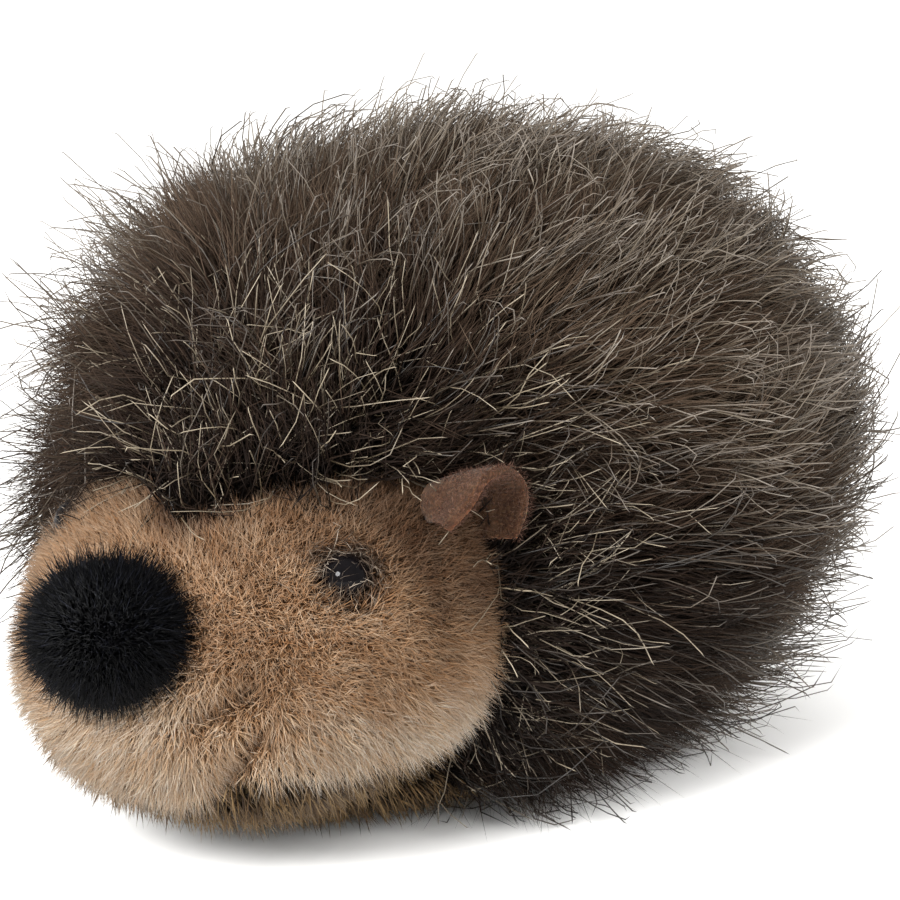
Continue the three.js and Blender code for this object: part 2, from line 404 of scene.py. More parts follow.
def buildSkin():
    # the stuffed body: dome, head and belly joined by a voxel remesh, so that no seam shows
    inset = np.array([headForm["depth"]] * 3)
    bellyMiddle = np.array([0, (bellyLow[1] + bellyHigh[1]) / 2, skinForm["bellyHeight"]])
    bellyRadii = np.array([bellyHigh[0], (bellyHigh[1] - bellyLow[1]) / 2, skinForm["bellyRadius"]])
    shapes = [
        roundGrid(coatCore, 60, 96),
        roundGrid(egg(headMiddle, headRadii - inset, headForm["fullAlong"], headForm["fullAcross"],
                      headForm["lean"], headForm["pitch"]), 48, 72),
        roundGrid(egg(bellyMiddle, bellyRadii - skinForm["belly"], skinForm["bellyFull"],
                      skinForm["bellyFull"]), 40, 56)]
    starts = np.cumsum([0] + [len(points) for points, faces in shapes[:-1]])
    points = np.concatenate([points for points, faces in shapes])
    faces = np.concatenate([faces + start for (_, faces), start in zip(shapes, starts)])
    rough = meshPiece("skin_rough", points, faces)
    remesh = rough.modifiers.new("join", "REMESH")
    remesh.mode = "VOXEL"
    remesh.voxel_size = skinForm["voxel"]
    soften = rough.modifiers.new("soften", "SMOOTH")
    soften.iterations = skinForm["smoothing"]
    bpy.context.view_layer.update()
    joined = rough.evaluated_get(bpy.context.evaluated_depsgraph_get())
    mesh = bpy.data.meshes.new_from_object(joined)
    bpy.data.objects.remove(rough)
    mesh.name = "skin"
    mesh.materials.clear()
    mesh.materials.append(plushBackingMaterial())
    skin = bpy.data.objects.new("skin", mesh)
    bpy.context.scene.collection.objects.link(skin)
    places, normals = meshArrays(mesh)
    places -= normals * (mouth["depth"] * nearMouth(places) * (belowSeam(places) < 0))[:, None]
    mesh.vertices.foreach_set("co", places.astype(np.float32).ravel())
    mesh.polygons.foreach_set("use_smooth", np.ones(len(mesh.polygons), bool))
    mesh.update()
    zone = np.where(isFace(places), 1.0, np.where(isUnderside(places), 0.5, 0.0))
    addValues(skin, "zone", zone)
    # the face's shade, with its painted shade at the brow, hairline and round the eyes, colours the
    # backing too
    addValues(skin, "shade", faceShade(places))
    return skin


def meshArrays(mesh):
    # the mesh's points and their normals
    arrays = []
    for title in ("co", "normal"):
        values = np.empty(len(mesh.vertices) * 3, np.float32)
        mesh.vertices.foreach_get(title, values)
        arrays.append(values.reshape(-1, 3).astype(float))
    return arrays


def isFace(points):
    return (behindSeam(points) < 0) & (belowSeam(points) < 0) & (points[..., 1] < -0.02)


def isUnderside(points):
    low = belowSeam(points) > 0
    ahead = behindSeam(points) < 0.004
    below = points[..., 2] < 0.0085
    inside = (np.abs(points[..., 0]) < 0.027) & (np.abs(points[..., 1] - coatMiddleY) < 0.038)
    return (low & ahead & (points[..., 1] < -0.02)) | (below & inside)


skin = buildSkin()
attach(skin, "root")
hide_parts("trunk", "head", "belly")
print("skin", len(skin.data.polygons), "faces")


# pile: every strand is a closed three-sided prism

unwrapForm = {
    "axisHeight": 0.035,  # of the line from nose to rump that the skin is unrolled round
    "margin": 0.01, "span": 0.98, "patch": 0.003,
}


def scatter(mesh, count, density, dice):
    # roots spread over the faces in proportion to area times density, with their normals
    places, normals = meshArrays(mesh)
    mesh.calc_loop_triangles()
    corners = np.empty(len(mesh.loop_triangles) * 3, np.int32)
    mesh.loop_triangles.foreach_get("vertices", corners)
    corners = corners.reshape(-1, 3)
    a, b, c = places[corners[:, 0]], places[corners[:, 1]], places[corners[:, 2]]
    weight = norm(np.cross(b - a, c - a), axis=1) * density((a + b + c) / 3)
    total = np.cumsum(weight)
    chosen = np.searchsorted(total, (np.arange(count) + dice.random(count)) / count * total[-1])
    chosen = np.minimum(chosen, len(corners) - 1)
    u, v = dice.random((2, count, 1))
    u, v = np.where(u + v > 1, 1 - u, u), np.where(u + v > 1, 1 - v, v)
    share = np.concatenate([1 - u - v, u, v], axis=1)
    roots = (places[corners[chosen]] * share[..., None]).sum(1)
    facing = unit((normals[corners[chosen]] * share[..., None]).sum(1))
    return roots, facing


def flatTo(vectors, normals):
    return unit(vectors - (vectors * normals).sum(1, keepdims=True) * normals)


def combedLie(roots, normals, centre, drop):
    # the way the pile is combed: along the skin, away from a centre, and pulled down by its weight
    away = unit(roots - centre)
    away[:, 2] -= drop
    return flatTo(away, normals)


def growPaths(roots, normals, lie, length, rise, stray, form, dice, waver=1.0):
    # each strand leaves the skin at one slope and ends at another: its path is the running sum of
    # those directions, with a stray turn for the whole strand, a bow that grows towards the tip and
    # kinks that add up from step to step, both scaled by how wavy the pile is there
    count, steps = len(roots), form["steps"]
    waver, stray, start, end = [np.broadcast_to(each, count)[:, None] for each in (waver, stray, *rise)]
    weight = np.ones(steps)
    weight[-1] = form.get("tipShare", 1.0)
    weight /= weight.sum()
    share = np.linspace(0, 1, steps)
    slope = np.radians(mix(start, end, share))[..., None]
    way = np.sin(slope) * normals[:, None] + np.cos(slope) * lie[:, None]
    way = way + (dice.normal(size=(count, 3)) * stray)[:, None]
    waver = waver[..., None]
    bow = dice.normal(size=(count, 1, 3)) * form.get("bow", 0.0)
    way = way + bow * waver * (share[None, :, None] - 0.3)
    way = unit(way + np.cumsum(dice.normal(size=(count, steps, 3)), axis=1) * form["kink"] * waver)
    path = roots[:, None] + np.cumsum(way * (length[:, None] * weight)[..., None], axis=1)
    return np.concatenate([roots[:, None], path], axis=1)


def trimToOutline(paths, level, dice, free=0.0):
    # shortens the strands whose tips would pass the coat's outline, each to a limit of its own
    count = len(paths)
    longer = dice.random(count) < coatTrim["longShare"]
    limit = level + coatTrim["spread"] * dice.normal(size=count)
    limit = limit + dice.uniform(0, coatTrim["longest"], count) * longer + free
    start, end = coatLevel(paths[:, 0]), coatLevel(paths[:, -1])
    share = (limit - start) / np.maximum(end - start, 1e-6)
    share = np.where(end > limit, np.clip(share, coatTrim["shortest"], 1), 1)
    return paths[:, :1] + (paths - paths[:, :1]) * share[:, None, None]


def nearestOf(points, centres):
    # the number of the nearest centre, worked out a block of points at a time
    found = []
    for block in np.array_split(points, max(1, len(points) // 2000)):
        gap = (block ** 2).sum(1)[:, None] + (centres ** 2).sum(1) - 2 * block @ centres.T
        found.append(gap.argmin(1))
    return np.concatenate(found)


def gather(paths, locks, owner, pull):
    # the strands of a lock draw towards its middle strand, more so towards their tips
    share = np.linspace(0, 1, paths.shape[1]) ** 1.3
    return paths + (locks[owner] - paths) * (pull[:, None] * share)[..., None]


def settle(paths, floorGap=0.0004):
    # nothing goes through the floor: what would is laid on it
    low = paths[..., 2]
    paths[..., 2] = np.where(low < floorGap * 3, floorGap + floorGap * 2 * np.exp(
        np.minimum(0, (low - floorGap * 3) / (floorGap * 2))), low)
    return paths


def keepEarsClear(paths, margin):
    # drops the strands that would cross the room in front of the left ear or eye, and every other
    # strand that starts in the right ear, as the pile falls over that one
    place = paths.copy()
    rightSide = paths[:, 0, 0] < 0
    place[..., 0] = np.abs(place[..., 0])
    low = earLow - np.array([-0.006, margin + 0.003, margin])
    high = earHigh + np.array([0.03, margin * 0.3, margin * 0.2])
    inside = ((place > low) & (place < high)).all(-1)
    inside |= (eyeDistance(paths) < 2.8 * eyeRadius) & ~rightSide[:, None] & (margin > 0)
    return ~np.where(rightSide, inside[:, 0] & (np.arange(len(paths)) % 2 == 0), inside.any(1))


def withinReach(paths):
    # true for the strands that stay close round the toy's box
    reach = 0.0112
    low, high = np.array(cadLow) - reach, np.array(cadHigh) + reach
    return ((paths > low) & (paths < high)).all((1, 2))


def strandPiece(name, paths, radii, values, unwrap, material, dice):
    # rings of three points round each path and one point at its tip; faces outwards
    count, points = paths.shape[:2]
    rings = points - 1
    run = norm(np.diff(paths, axis=1), axis=2).mean(0)
    way = unit(np.gradient(paths, axis=1))
    side = unit(np.cross(way, unit(dice.normal(size=(count, 1, 3)))))
    other = np.cross(way, side)
    angle = 2 * np.pi * np.arange(3) / 3
    side, other = side[:, :rings, None], other[:, :rings, None]
    turned = np.cos(angle)[:, None] * side + np.sin(angle)[:, None] * other
    body = paths[:, :rings, None] + turned * radii[..., None, None]
    places = np.concatenate([body.reshape(count, rings * 3, 3), paths[:, -1:]], axis=1)
    template = [(0, 2, 1)]
    for ring in range(rings):
        for corner in range(3):
            a, b = 3 * ring + corner, 3 * ring + (corner + 1) % 3
            if ring + 1 < rings:
                template += [(a, b, b + 3), (a, b + 3, a + 3)]
            else:
                template += [(a, b, 3 * rings)]
    size = 3 * rings + 1
    triangles = (np.array(template)[None] + (np.arange(count) * size)[:, None, None]).reshape(-1, 3)
    piece = meshPiece(name, places.reshape(-1, 3), triangles, material)
    stations = np.concatenate([[0.0], np.cumsum(run) / run.sum()])
    along = np.concatenate([np.repeat(stations[:-1], 3), [1.0]])
    addValues(piece, "along", np.tile(along, count))
    for title, value in values.items():
        addValues(piece, title, np.repeat(value, size))
    across = np.concatenate([np.tile(np.arange(3) / 3, rings), [0.5]])
    offset = np.stack([across - 0.5, along - 0.5], -1) * unwrapForm["patch"]
    corners = (unwrap[:, None] + offset[None]).reshape(-1, 2)
    layer = piece.data.uv_layers.new(name="OFBake")
    layer.data.foreach_set("uv", corners[triangles.ravel()].astype(np.float32).ravel())
    return piece


def turnRound(points):
    return np.arctan2(points[:, 0], points[:, 2] - unwrapForm["axisHeight"])


def unwrapRound(points):
    # the skin unrolled round the line from nose to rump: angle across, distance along it up
    angle = turnRound(points) / (2 * np.pi) + 0.5
    along = (points[:, 1] - cadLow[1]) / (cadHigh[1] - cadLow[1])
    return unwrapForm["margin"] + unwrapForm["span"] * np.stack([angle, np.clip(along, 0, 1)], -1)


def addCoat(name, paths, radii, values, material, dice, parts=1):
    # splits a coat into like pieces by where its strands stand round the body
    order = np.argsort(turnRound(paths[:, 0]))
    for number, part in enumerate(np.array_split(order, parts)):
        title = name if parts == 1 else f"{name}_{number + 1}"
        piece = strandPiece(title, paths[part], radii[part], {k: v[part] for k, v in values.items()},
                            unwrapRound(paths[part, 0]), material, dice)
        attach(piece, "root")
        print(title, len(piece.data.polygons), "triangles")


def pileMaterial(name, stops, tones, tips, roughness, gloss):
    # polyester pile: colour runs from root to tip, each strand a little lighter or darker and warmer
    # or cooler than the next, with a soft gloss along it
    material, tree = newMaterial(name)
    ramps = []
    for value, colours in (("along", stops), ("shade", tips), ("tone", tones)):
        read = addNode(tree, "Attribute", attribute_name=value).outputs["Fac"]
        ramps.append(addNode(tree, "ValToRGB", {"Fac": read}, stops=colours).outputs[0])
    colour = ramps[0]
    for ramp in ramps[1:]:
        both = {0: 1.0, 6: colour, 7: ramp}
        colour = addNode(tree, "Mix", both, data_type="RGBA", blend_type="MULTIPLY").outputs[2]
    surface = addNode(tree, "BsdfPrincipled", {
        "Base Color": colour, "Roughness": roughness, "Specular IOR Level": gloss})
    addNode(tree, "OutputMaterial", {"Surface": surface.outputs[0]})
    return material


def randomValues(dice, count):
    return {"tone": dice.random(count), "shade": dice.random(count)}


def strandRadii(form, taper, count, dice, least, most):
    # a radius for each ring of each strand, some strands finer than others
    return form["radius"] * taper * dice.uniform(least, most, (count, 1))


def addShortPile(name, mesh, form, density, material):
    # pile of one length that stands at one slope, with a share of longer hairs in it
    dice = np.random.default_rng(form["seed"])
    roots, normals = scatter(mesh, form["count"], density, dice)
    lie = combedLie(roots, normals, np.array(form["centre"]), form["drop"])
    share = dice.uniform(*form["shares"], len(roots))
    if "longShare" in form:
        share = share + form["longer"] * (dice.random(len(roots)) < form["longShare"])
    length, rise = form["length"] * share, (form["rise"], form["rise"])
    paths = settle(growPaths(roots, normals, lie, length, rise, form["stray"], form, dice))
    radii = strandRadii(form, 1.0, len(paths), dice, 0.7, 1.25)
    addCoat(name, paths, radii, randomValues(dice, len(paths)), material, dice)


# the long coat of the back

coatLie = {
    "centre": (0.0, -0.050, 0.024),  # the face, from which the coat is combed back
    "drop": 0.06, "lowDrop": 1.15, "swirl": 0.34, "cowlick": 0.20,
    "fringe": (-0.80, -0.50, -0.30),  # how the pile falls over the right brow
    "temple": (-0.30, -0.90, -0.30),  # and over the right temple and eye
    "locks": 900, "lockSeed": 21, "lockStray": 0.26,
}

coatTrim = {
    "shortest": 0.5,  # the least share of a strand that stays
    "spread": 0.026, "longShare": 0.05, "longest": 0.16,
}

guard = {
    "count": 10400, "steps": 7, "tipShare": 0.25,
    "length": (0.0205, 0.0265),  # at the brow and at the rear
    "lengthSpread": 0.0038,
    # slopes off the skin at root and tip: over the brow, at the rear and by the seam
    "rises": ((74, 44), (48, 12), (80, 40)),
    "bow": 0.62, "kink": 0.085, "radius": 0.000105, "level": 0.995, "stray": 0.15,
    "pull": (0.15, 0.80), "parts": 3, "seed": 102,
}

underCoat = {
    "count": 40000, "steps": 2, "length": (0.0165, 0.0205), "lengthSpread": 0.0032,
    "rises": ((72, 46), (50, 20), (78, 50)), "bow": 0.30, "kink": 0.12, "radius": 0.000125,
    "level": 0.96, "stray": 0.18, "pull": (0.20, 0.75), "parts": 3, "seed": 101,
}

fillCoat = {
    "count": 44000, "steps": 1, "length": (0.0130, 0.0160), "lengthSpread": 0.0028,
    "rises": ((62, 62), (36, 36), (68, 68)), "kink": 0.14, "radius": 0.000125, "level": 0.92,
    "stray": 0.20, "pull": (0.10, 0.60), "parts": 1, "seed": 100,
}

stray = {
    "count": 1600, "steps": 7, "tipShare": 0.25, "rise": (72, 38), "length": 0.0185, "bow": 0.75,
    "kink": 0.26, "radius": 0.0001, "level": 1.0,
}


def fringeShare(roots):
    # 1 where the pile hangs over the right brow, 0 elsewhere
    near = ease(0.030, 0.012, behindSeam(roots))
    return near * ease(-0.001, -0.011, roots[:, 0]) * ease(0.026, 0.036, roots[:, 2])


def shoulderShare(roots):
    # 1 where the pile stands out further, behind the right brow, 0 elsewhere
    away = unit((roots - [0, coatMiddleY, 0]) * [1, 1, 0]) @ np.array([-0.80, -0.60, 0])
    height = ease(0.034, 0.044, roots[:, 2]) * ease(0.074, 0.062, roots[:, 2])
    return ease(0.60, 0.85, away) * height


def skirtShare(roots):
    # 1 round the foot of the coat, where the pile spreads over the floor, 0 elsewhere
    return ease(0.028, 0.013, roots[:, 2]) * ease(0.0, 0.010, behindSeam(roots))


def coatLies(roots, normals):
    drop = mix(coatLie["drop"], coatLie["lowDrop"], ease(0.044, 0.006, roots[:, 2]))
    lie = combedLie(roots, normals, np.array(coatLie["centre"]), drop)
    cowlick = softNoise(roots, 0.012, 12) * coatLie["cowlick"]
    lie = lie + (softNoise(roots, 0.034, 11) * coatLie["swirl"] + cowlick)
    temple = (ease(-0.012, -0.019, roots[:, 0]) * ease(0.053, 0.046, roots[:, 2]))[:, None]
    fringe = mix(np.array(coatLie["fringe"]), np.array(coatLie["temple"]), temple)
    lie = mix(lie, fringe, fringeShare(roots)[:, None])
    return flatTo(lie, normals)


def coatPaths(roots, normals, form, dice, strayBy):
    # strands stand up over the brow and beside the face, and lie back towards the rump
    front = ease(0.020, -0.036, roots[:, 1]) * ease(0.030, 0.060, roots[:, 2])
    nearSeam = ease(0.022, 0.003, behindSeam(roots)) * (roots[:, 1] < 0.01)
    fringe, shoulder, skirt = fringeShare(roots), shoulderShare(roots), skirtShare(roots)
    length = mix(form["length"][1], form["length"][0], front) * mix(1.0, 0.92, nearSeam)
    length = length * mix(1, 1.25, np.maximum(fringe, skirt)) * mix(1, 1.255, shoulder)
    length = length + dice.normal(size=len(roots)) * form["lengthSpread"]
    rise = [mix(mix(rear, brow, front), beside, nearSeam) for brow, rear, beside in zip(*form["rises"])]
    rise = [mix(rise[0], 76.0, shoulder), mix(rise[1], 54.0, shoulder)]
    rise = [mix(rise[0], 38.0, fringe), mix(mix(rise[1], 2.0, fringe), 42.0, skirt)]
    strays = strayBy * mix(mix(mix(1.0, 1.5, front), 1.8, nearSeam), 1.1, fringe)
    lie = coatLies(roots, normals)
    waver = mix(mix(1.0, 1.3, front), 1.9, nearSeam)
    return growPaths(roots, normals, lie, np.maximum(length, 0.004), rise, strays, form, dice, waver)


def coatDensity(points):
    return np.where(isFace(points) | isUnderside(points), 0.0, 1.0)


def underDensity(points):
    # thicker where the pile hangs over the brow or stands out behind it
    return coatDensity(points) * (1 + 0.9 * np.maximum(fringeShare(points), shoulderShare(points)))


def guardDensity(points):
    # the long hairs stand in bands, with darker gaps between
    band = ease(-0.45, 0.55, softNoise(points, 0.010, 17)[..., 0])
    return coatDensity(points) * mix(0.26, 1.2, coatShade(points)) * mix(0.35, 1.5, band)


def addBackCoat(name, form, density, material):
    dice = np.random.default_rng(form["seed"])
    roots, normals = scatter(skin.data, form["count"], density, dice)
    paths = coatPaths(roots, normals, form, dice, form["stray"])
    lockDice = np.random.default_rng(coatLie["lockSeed"])
    lockRoots, lockNormals = scatter(skin.data, coatLie["locks"], coatDensity, lockDice)
    locks = coatPaths(lockRoots, lockNormals, form, lockDice, coatLie["lockStray"])
    owner = nearestOf(roots, lockRoots)
    paths = gather(paths, locks, owner, dice.uniform(*form["pull"], len(roots)))
    free = 2.0 * fringeShare(roots) + 0.155 * shoulderShare(roots) + 0.10 * skirtShare(roots)
    paths = trimToOutline(paths, form["level"], dice, free)
    level, moved = headLevel(paths, -0.0014)
    paths = settle(np.where((level < 1)[..., None] & (paths[:, :1, 1:2] < 0.0), moved, paths))
    keep = keepEarsClear(paths, 0.0012) & withinReach(paths)
    paths, roots = paths[keep], roots[keep]
    lockTone = lockDice.random(coatLie["locks"])[owner][keep]
    tone = np.clip(0.42 * lockTone + 0.58 * dice.random(len(paths)), 0, 1)
    # painted light: the strands that hang over the brow or stand out behind it are paler, as if lit
    # through from behind
    backlitWisps = 0.35 * np.maximum(fringeShare(roots), shoulderShare(roots))
    shade = np.clip(coatShade(roots) + backlitWisps + 0.14 * dice.normal(size=len(paths)), 0, 1)
    taper = mix(1.0, 0.75, np.linspace(0, 1, form["steps"] + 1)[:-1])
    radii = strandRadii(form, taper, len(paths), dice, 0.7, 1.3)
    values = {"tone": tone, "shade": shade}
    addCoat(name, paths, radii, values, material, dice, form["parts"])


guardMaterial = pileMaterial(
    "longPolyesterGuardHair",
    stops={0.0: "#271e17", 1.0: "#938e8a", 0.22: "#3b3027", 0.48: "#5e5343", 0.8: "#7b746a"},
    tones={0.0: "#6e645c", 1.0: "#ffffff", 0.4: "#a89e94"},
    tips={0.0: "#6c6662", 1.0: "#ece8e2", 0.5: "#ccc7c1"},
    roughness=0.42, gloss=0.4)

underMaterial = pileMaterial(
    "softBrownUndercoat",
    stops={0.0: "#382d25", 1.0: "#877d74", 0.45: "#473c34", 0.8: "#675c53"},
    tones={0.0: "#746a64", 1.0: "#ffffff", 0.5: "#aca096"},
    tips={0.0: "#68594f", 1.0: "#fff8ea", 0.4: "#a5978a"},
    roughness=0.7, gloss=0.12)

addBackCoat("fill_coat", fillCoat, underDensity, underMaterial)
addBackCoat("undercoat", underCoat, underDensity, underMaterial)
addBackCoat("guard_hair", guard, guardDensity, guardMaterial)


def addStrays():
    # loose pale hairs that cross each other over the brow and down behind the cheeks
    dice = np.random.default_rng(103)

    def edge(points):
        behind = behindSeam(points)
        band = ease(-0.0005, 0.001, behind) * ease(0.030, 0.006, behind)
        return band * coatDensity(points) * (points[..., 1] < 0.0) * (points[..., 2] > 0.012)

    roots, normals = scatter(skin.data, stray["count"], edge, dice)
    lie = coatLies(roots, normals)
    low = ease(0.046, 0.036, roots[:, 2])
    length = stray["length"] * dice.uniform(0.5, 1.25, len(roots))
    paths = growPaths(roots, normals, lie, length, stray["rise"], mix(0.60, 0.45, low), stray, dice)
    paths = trimToOutline(paths, stray["level"], dice)
    level, moved = headLevel(paths, -0.0010)
    paths = settle(np.where((level < 1)[..., None], moved, paths))
    paths = paths[keepEarsClear(paths, 0.0005)]
    tone = dice.uniform(0.3, 1, len(paths))
    radii = strandRadii(stray, np.linspace(1, 0.75, stray["steps"]), len(paths), dice, 0.7, 1.2)
    addCoat("stray_hair", paths, radii, {"tone": tone, "shade": np.zeros(len(paths))},
            strayMaterial, dice)


strayMaterial = pileMaterial(
    "paleStrayHair",
    stops={0.0: "#2e241b", 1.0: "#968e84", 0.3: "#605648"},
    tones={0.0: "#6e665f", 1.0: "#ffffff"},
    tips={0.0: "#f2ecdc", 1.0: "#f2ecdc"},
    roughness=0.4, gloss=0.45)
addStrays()


# the short pile of the face

facePile = {
    "count": 72000, "steps": 1,
    "length": (0.0042, 0.0054),  # at the brow and on the jowl
    "kink": 0.10, "radius": 0.000098, "stray": 0.85, "locks": 2600, "lockStray": 0.45,
    "pull": (0.0, 0.30),
}


def faceRoots(points):
    return isFace(points) * (eyeDistance(points) > eyeRadius * 0.9) * (1 - 0.45 * nearMouth(points))


def facePaths(roots, normals, dice, strayBy):
    lie = combedLie(roots, normals, noseMiddle + np.array([0, 0.004, 0.004]), 0.55)
    lie = flatTo(lie + softNoise(roots, 0.009, 13) * 0.35 + softNoise(roots, 0.004, 15) * 0.30, normals)
    eye = nearerEye(roots)
    far = norm(eye - roots, axis=1)
    lash = ease(1.8, 1.1, far / eyeRadius) * (dice.random(len(roots)) < 0.6)
    lie = flatTo(mix(lie, unit(eye - roots), lash[:, None]), normals)
    jowl = ease(0.036, 0.022, roots[:, 2])
    length = mix(facePile["length"][0], facePile["length"][1], jowl) * dice.uniform(0.75, 1.2, len(roots))
    length = length * (1 - 0.45 * nearMouth(roots))
    rise = [mix(54.0, 40.0, jowl)] * 2
    return growPaths(roots, normals, lie, length, rise, strayBy * mix(1.0, 0.55, jowl), facePile, dice)


def addFacePile(material):
    dice = np.random.default_rng(201)
    roots, normals = scatter(skin.data, facePile["count"], faceRoots, dice)
    paths = facePaths(roots, normals, dice, facePile["stray"])
    lockRoots, lockNormals = scatter(skin.data, facePile["locks"], faceRoots, dice)
    locks = facePaths(lockRoots, lockNormals, dice, facePile["lockStray"])
    owner = nearestOf(roots, lockRoots)
    paths = gather(paths, locks, owner, dice.uniform(*facePile["pull"], len(roots)))
    clear = (eyeDistance(paths) > eyeRadius * 1.02).all(1)
    keep = keepEarsClear(paths, 0.0) & (clear | (dice.random(len(paths)) < 0.02))
    paths, roots = settle(paths[keep]), roots[keep]
    radii = strandRadii(facePile, 1.0, len(paths), dice, 0.7, 1.3)
    tone = np.clip(dice.random(len(paths)) + softNoise(roots, 0.0035, 14)[:, 0] * 0.25, 0, 1)
    values = {"tone": tone, "shade": faceShade(roots)}
    addCoat("face_pile", paths, radii, values, material, dice, 2)


faceMaterial = pileMaterial(
    "shortTanPlush",
    stops={0.0: "#d6ab7c", 1.0: "#f2f0ee", 0.5: "#e6d2b8"},
    tones={0.0: "#cfb498", 1.0: "#f8f5f1", 0.5: "#d9c9b9", 0.84: "#e4d9cd"},
    tips={0.0: "#3c322a", 1.0: "#d2d5d6", 0.14: "#5f5044", 0.5: "#ab9b8b"},
    roughness=0.6, gloss=0.25)
addFacePile(faceMaterial)


# the loose hairs round the eyes

eyeHair = {
    "count": 420, "steps": 3, "length": 0.0050, "bow": 0.9, "kink": 0.30, "radius": 0.00006,
    "rise": (66, 8), "stray": 0.25,
    "clearance": 1.05,  # over the bead, as a share of its radius
}


def addEyeHair():
    # pale fibres that start round the eyes, and of which a few bend over the beads
    dice = np.random.default_rng(211)

    def ring(points):
        away = eyeDistance(points) / eyeRadius
        return isFace(points) * ease(0.8, 1.0, away) * ease(1.9, 1.2, away)

    roots, normals = scatter(skin.data, eyeHair["count"], ring, dice)
    eye = nearerEye(roots)
    inward = (dice.random(len(roots)) < 0.40)[:, None]
    lie = flatTo(mix(dice.normal(size=roots.shape), unit(eye - roots) * 1.6, inward * 0.85), normals)
    length = eyeHair["length"] * dice.uniform(0.6, 1.25, len(roots))
    paths = growPaths(roots, normals, lie, length, eyeHair["rise"], eyeHair["stray"], eyeHair, dice)
    out = paths - eye[:, None]
    away = norm(out, axis=-1, keepdims=True)
    paths = eye[:, None] + out * np.maximum(1, eyeRadius * eyeHair["clearance"] / away)
    radii = strandRadii(eyeHair, np.linspace(1, 0.7, eyeHair["steps"]), len(paths), dice, 0.7, 1.2)
    values = randomValues(dice, len(paths))
    addCoat("eye_hair", paths, radii, values, eyeHairMaterial, dice)


eyeHairMaterial = pileMaterial(
    "paleFaceFibre",
    stops={0.0: "#3a2e24", 1.0: "#bcb2a6", 0.4: "#857868"},
    tones={0.0: "#3a322c", 1.0: "#ffffff", 0.5: "#9c9086"},
    tips={0.0: "#d8d0c8", 1.0: "#ffffff"},
    roughness=0.5, gloss=0.3)
addEyeHair()


# the pile of the underside

underPile = {
    "count": 12000, "steps": 1, "length": 0.0046, "shares": (0.75, 1.2), "centre": (0, -0.06, 0.04),
    "drop": 0.9, "rise": 42, "stray": 0.28, "kink": 0.1, "radius": 0.0002, "seed": 301,
}

undersideMaterial = pileMaterial(
    "shortOlivePlush",
    stops={0.0: "#231a10", 1.0: "#a38a64", 0.5: "#655034"},
    tones={0.0: "#8a8078", 1.0: "#ffffff"},
    tips={0.0: "#c8b898", 1.0: "#ffffff"},
    roughness=0.6, gloss=0.25)
addShortPile("underside_pile", skin.data, underPile, lambda points: 1.0 * isUnderside(points),
             undersideMaterial)


# the nose

nose = {
    "pile": 0.0027, "count": 14000, "steps": 1, "length": 0.0034, "shares": (0.6, 1.1),
    "longShare": 0.14, "longer": 0.75, "centre": noseMiddle + np.array([0, -0.012, 0.004]),
    "drop": 0.3, "rise": 76, "stray": 0.36, "kink": 0.1, "radius": 0.00011, "seed": 401,
}


def blackBackingMaterial():
    # black plush backing: matt and nearly without light
    material, tree = newMaterial("blackPlushBacking")
    grain = surfaceGrain(tree, 0.6, 3)
    colour = addNode(tree, "ValToRGB", {"Fac": grain}, stops={0.3: "#030304", 0.8: "#0d0d11"})
    bump = addNode(tree, "Bump", {"Height": grain, "Distance": 0.0005, "Strength": 1.0})
    surface = addNode(tree, "BsdfPrincipled", {
        "Base Color": colour.outputs[0], "Roughness": 0.9, "Specular IOR Level": 0.2,
        "Normal": bump.outputs[0]})
    addNode(tree, "OutputMaterial", {"Surface": surface.outputs[0]})
    return material


def addNose(material):
    points, faces = roundGrid(egg(noseMiddle, noseRadii - nose["pile"], 2, 2), 40, 56)
    ball = meshPiece("nose_ball", points, faces, blackBackingMaterial())
    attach(ball, "root")
    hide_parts("nose")
    addShortPile("nose_pile", ball.data, nose, lambda places: headLevel(places, -0.003)[0] > 1,
                 material)


# painted highlights: the few strands of the palest tones, rising to bluish white, stand for glints of
# light on the black pile
noseMaterial = pileMaterial(
    "shortBlackPlush",
    stops={0.0: "#020203", 1.0: "#30323d", 0.6: "#121318"},
    tones={0.0: "#24242c", 1.0: "#ffffff", 0.86: "#3c3c48"},
    tips={0.0: "#c8c8d0", 1.0: "#ffffff"},
    roughness=0.45, gloss=0.10)
addNose(noseMaterial)


# the eyes

def beadMaterial():
    # polished black acrylic: a dark body under a clear gloss that mirrors the key lamp as a small spot
    material, tree = newMaterial("polishedBlackAcrylic")
    scuff = surfaceGrain(tree, 10 / 9, 4)
    colour = addNode(tree, "ValToRGB", {"Fac": scuff}, stops={0.3: "#050405", 0.8: "#0b090a"})
    rough = addNode(tree, "MapRange", {"Value": scuff, "To Min": 0.03, "To Max": 0.09})
    surface = addNode(tree, "BsdfPrincipled", {
        "Base Color": colour.outputs[0], "Roughness": rough.outputs[0], "IOR": 1.49,
        "Specular IOR Level": 0.08})
    addNode(tree, "OutputMaterial", {"Surface": surface.outputs[0]})
    return material


def addEyes():
    material = beadMaterial()
    for name, side in (("left", 1), ("right", -1)):
        middle = eyeMiddle * np.array([side, 1, 1])
        points, faces = roundGrid(egg(middle, np.full(3, eyeRadius), 2, 2), 32, 48)
        bead = meshPiece(f"eye_bead_{name}", points, faces, material)
        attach(bead, "root")
        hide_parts(f"eye_{name}")


addEyes()
print("nose and eyes ready")


# the ears

